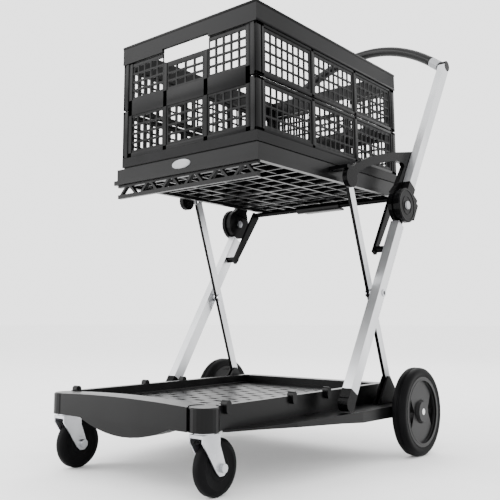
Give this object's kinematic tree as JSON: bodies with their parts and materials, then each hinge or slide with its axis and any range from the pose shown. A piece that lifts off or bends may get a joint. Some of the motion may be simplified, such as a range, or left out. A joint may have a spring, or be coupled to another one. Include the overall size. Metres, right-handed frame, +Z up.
{
  "type": "folding shopping trolley",
  "caption": "Folding two-tier shopping trolley: lift-out grille crate on a scissor frame, low deck, swivel casters, large rear wheels and a fold-over push handle.",
  "frame": {"origin": "on the floor, under the centre of the bounding box", "axes": "+Z up, casters towards -Y, push handle towards +Y, left side on +X"},
  "size_m": [0.55, 0.89, 1.0143],
  "materials": {
    "chassis_plastic": "satin black moulded plastic with a fine grain",
    "joint_plastic": "satin black moulded plastic, a little shinier than the chassis",
    "crate_plastic": "matt black polypropylene",
    "leg_tube": "light anodised flat tube, brushed along its length",
    "zinc_steel": "bright zinc plated",
    "tread_rubber": "dull dark grey rubber",
    "grip_rubber": "soft black grip",
    "grey_trim": "mid grey moulded plastic"
  },
  "bodies": {
    "chassis": {"front_bumper": "chassis_plastic", "caster_socket_left": "chassis_plastic", "caster_socket_right": "chassis_plastic", "side_rail_left": "chassis_plastic", "side_rail_right": "chassis_plastic", "rear_beam": "chassis_plastic", "deck_panel": "chassis_plastic", "fin_bracket_left": "chassis_plastic", "fin_bracket_right": "chassis_plastic", "rear_axle": "zinc_steel"},
    "caster_l": {"caster_stem_left": "zinc_steel", "caster_fork_left": "zinc_steel", "caster_bolt_left": "zinc_steel"},
    "caster_r": {"caster_stem_right": "zinc_steel", "caster_fork_right": "zinc_steel", "caster_bolt_right": "zinc_steel"},
    "caster_roller_l": {"caster_wheel_left": "tread_rubber"},
    "caster_roller_r": {"caster_wheel_right": "tread_rubber"},
    "rear_wheel_l": {"rear_tyre_left": "tread_rubber", "rear_hub_left": "chassis_plastic"},
    "rear_wheel_r": {"rear_tyre_right": "tread_rubber", "rear_hub_right": "chassis_plastic"},
    "inner_legs": {"inner_leg_left": "leg_tube", "inner_leg_right": "leg_tube", "inner_leg_shaft": "zinc_steel"},
    "outer_legs": {"outer_leg_left": "leg_tube", "outer_leg_right": "leg_tube", "foot_cap_left": "joint_plastic", "foot_cap_right": "joint_plastic", "outer_leg_hub_left": "joint_plastic", "outer_leg_hub_right": "joint_plastic", "cross_pin_left": "zinc_steel", "cross_pin_right": "zinc_steel", "leg_tie_frame": "joint_plastic"},
    "release_lever": {"release_grip": "chassis_plastic"},
    "tray": {"tray_frame": "chassis_plastic", "tray_front_beam": "chassis_plastic", "front_badge": "grey_trim", "side_arm_left": "joint_plastic", "side_arm_right": "joint_plastic", "knuckle_pin_left": "zinc_steel", "knuckle_pin_right": "zinc_steel"},
    "handle": {"handle_tube_left": "leg_tube", "handle_tube_right": "leg_tube", "handle_hub_left": "joint_plastic", "handle_hub_right": "joint_plastic", "handle_grip": "grip_rubber", "handle_collar_left": "grey_trim", "handle_collar_right": "grey_trim"},
    "lock_l": {"lock_button_left": "grey_trim"},
    "lock_r": {"lock_button_right": "grey_trim"},
    "crate": {"crate_base": "crate_plastic", "crate_rim": "crate_plastic", "crate_side_lower_left": "crate_plastic", "crate_side_lower_right": "crate_plastic", "crate_side_upper_left": "crate_plastic", "crate_side_upper_right": "crate_plastic"},
    "crate_front": {"crate_front_wall": "crate_plastic"},
    "crate_rear": {"crate_rear_wall": "crate_plastic"}
  },
  "joints": [
    {"name": "legs_fold", "type": "hinge", "parent": "chassis", "child": "inner_legs", "pos_m": [0, 0.1212, 0.108], "axis": [-1, 0, 0], "range_deg": [-57, 0]},
    {"name": "cross_pivot", "type": "hinge", "parent": "inner_legs", "child": "outer_legs", "pos_m": [0, 0.0455, 0.3252], "axis": [-1, 0, 0], "range_deg": [0, 103.8]},
    {"name": "knuckle_pivot", "type": "hinge", "parent": "outer_legs", "child": "tray", "pos_m": [0, 0.146, 0.516], "axis": [-1, 0, 0], "range_deg": [-46.8, 0]},
    {"name": "handle_fold", "type": "hinge", "parent": "tray", "child": "handle", "pos_m": [0, 0.146, 0.516], "axis": [-1, 0, 0], "range_deg": [-75, 0]},
    {"name": "crate_lift", "type": "slide", "parent": "tray", "child": "crate", "axis": [0, 0, 1], "range_m": [0, 0.35]},
    {"name": "crate_front_fold", "type": "hinge", "parent": "crate", "child": "crate_front", "pos_m": [0, -0.2878, 0.805], "axis": [1, 0, 0], "range_deg": [0, 90]},
    {"name": "crate_rear_fold", "type": "hinge", "parent": "crate", "child": "crate_rear", "pos_m": [0, 0.2353, 0.805], "axis": [-1, 0, 0], "range_deg": [0, 90]},
    {"name": "release_squeeze", "type": "hinge", "parent": "outer_legs", "child": "release_lever", "pos_m": [0, 0.181, 0.54], "axis": [1, 0, 0], "range_deg": [0, 12], "stiffness_Nm_per_rad": 0.6, "springref_deg": -14.32},
    {"name": "lock_press_left", "type": "slide", "parent": "handle", "child": "lock_l", "axis": [-1, 0, 0], "range_m": [0, 0.0035], "stiffness_N_per_m": 900, "springref_m": -0.002},
    {"name": "lock_press_right", "type": "slide", "parent": "handle", "child": "lock_r", "axis": [1, 0, 0], "range_m": [0, 0.0035], "stiffness_N_per_m": 900, "springref_m": -0.002},
    {"name": "caster_swivel_left", "type": "hinge", "parent": "chassis", "child": "caster_l", "pos_m": [0.171, -0.4195, 0.1], "axis": [0, 0, 1], "continuous": true},
    {"name": "caster_swivel_right", "type": "hinge", "parent": "chassis", "child": "caster_r", "pos_m": [-0.171, -0.4195, 0.1], "axis": [0, 0, 1], "continuous": true},
    {"name": "caster_roll_left", "type": "hinge", "parent": "caster_l", "child": "caster_roller_l", "pos_m": [0.171, -0.3935, 0.045], "axis": [1, 0, 0], "continuous": true},
    {"name": "caster_roll_right", "type": "hinge", "parent": "caster_r", "child": "caster_roller_r", "pos_m": [-0.171, -0.3935, 0.045], "axis": [1, 0, 0], "continuous": true},
    {"name": "rear_roll_left", "type": "hinge", "parent": "chassis", "child": "rear_wheel_l", "pos_m": [0.2605, 0.1284, 0.0872], "axis": [1, 0, 0], "continuous": true},
    {"name": "rear_roll_right", "type": "hinge", "parent": "chassis", "child": "rear_wheel_r", "pos_m": [-0.2605, 0.1284, 0.0872], "axis": [1, 0, 0], "continuous": true}
  ],
  "couplings": [
    {"joint": "cross_pivot", "follows": "legs_fold", "ratio": -1.82},
    {"joint": "knuckle_pivot", "follows": "legs_fold", "ratio": 0.82}
  ]
}
